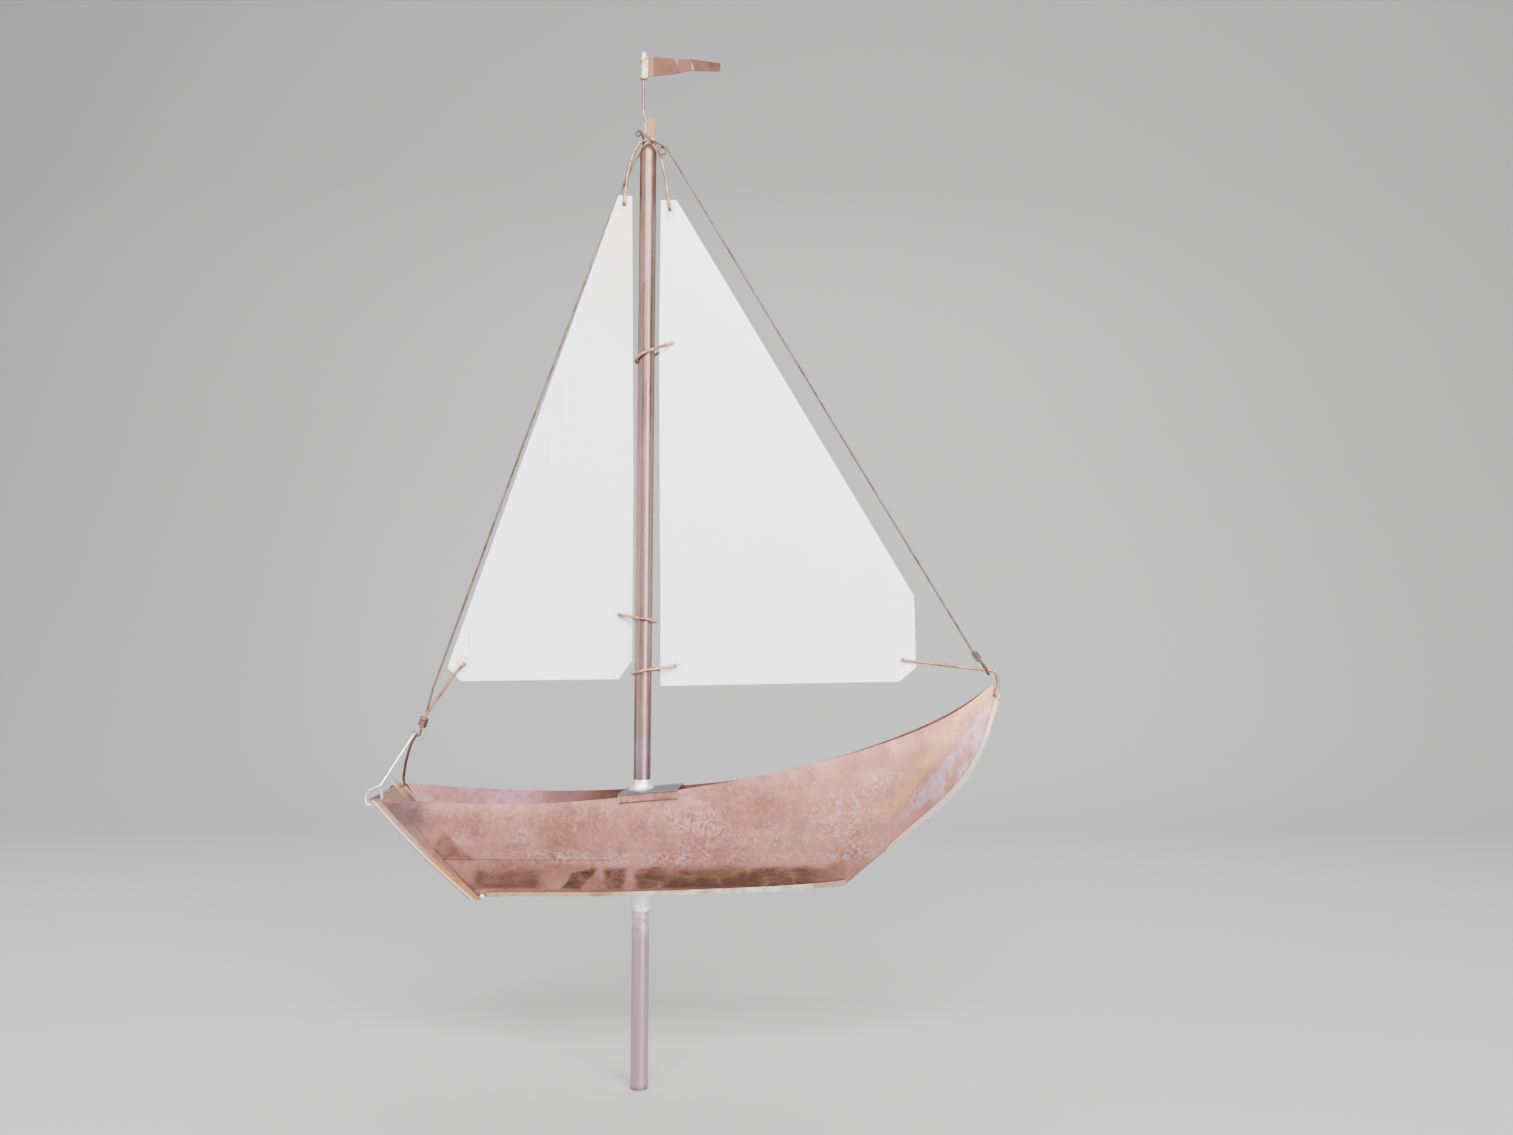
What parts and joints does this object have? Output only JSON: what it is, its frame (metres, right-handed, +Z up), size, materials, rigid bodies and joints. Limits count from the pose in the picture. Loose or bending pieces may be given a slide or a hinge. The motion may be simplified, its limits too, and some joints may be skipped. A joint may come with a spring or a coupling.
{
  "type": "weather vane",
  "caption": "Weather vane in the shape of a small sheet-metal sailing boat on a tube mast that turns on a post, with painted sheet sails, wire rigging and a swivelling pennant.",
  "frame": {"origin": "mast axis at the open lower end of the mast tube, which is also the mouth of the post socket", "axes": "+Z up the mast, +X towards the bow, +Y to the boat's port side (left when looking forward)"},
  "size_m": [0.5757, 0.0856, 0.9734],
  "materials": {
    "hull_copper": "satin, brown to pink patina",
    "transom_copper": "satin, heat tinted",
    "keel_copper": "satin, dark patina",
    "stem_copper": "satin, heat tinted and bright on the fold",
    "deck_copper": "satin, dark top",
    "mast_copper": "satin drawn tube",
    "tab_copper": "satin",
    "tie_copper": "bare soft wire",
    "stay_copper": "bare stiff wire",
    "staff_copper": "bare stiff wire",
    "pennant_copper": "satin, tinned roll at the staff",
    "solder": "bright soft solder",
    "fore_sail_paint": "white satin paint",
    "aft_sail_paint": "white satin paint, slightly stained",
    "pivot_brass": "turned",
    "bearing_steel": "polished"
  },
  "bodies": {
    "pivot": {"pivot_sleeve": "pivot_brass", "thrust_ball": "bearing_steel"},
    "vane": {"starboard_side_panel": "hull_copper", "port_side_panel": "hull_copper", "transom": "transom_copper", "bottom_plate": "keel_copper", "stem_strip": "stem_copper", "deck_plate": "deck_copper", "mast_tube": "mast_copper", "deck_solder_fillet": "solder", "keel_solder_fillet": "solder", "stern_solder": "solder", "masthead_solder": "solder", "masthead_tab": "tab_copper", "staff_solder": "solder", "pennant_staff": "staff_copper", "head_tie": "tie_copper", "fore_sail": "fore_sail_paint", "aft_sail": "aft_sail_paint", "fore_sail_upper_ring": "tie_copper", "fore_sail_lower_ring": "tie_copper", "aft_sail_ring": "tie_copper", "fore_clew_tie": "tie_copper", "aft_clew_tie": "tie_copper", "fore_stay": "stay_copper", "aft_stay": "stay_copper", "transom_bridle": "stay_copper", "bridle_lashing": "stay_copper", "fore_stay_seizing": "stay_copper", "thrust_plug": "pivot_brass"},
    "pennant": {"pennant": "pennant_copper"}
  },
  "joints": [
    {"name": "vane_turn", "type": "hinge", "parent": "pivot", "child": "vane", "pos_m": [0, 0, 0], "axis": [0, 0, 1], "continuous": true},
    {"name": "pennant_turn", "type": "hinge", "parent": "vane", "child": "pennant", "pos_m": [-0.0052, 0, 0.9584], "axis": [0, 0, 1], "continuous": true}
  ]
}
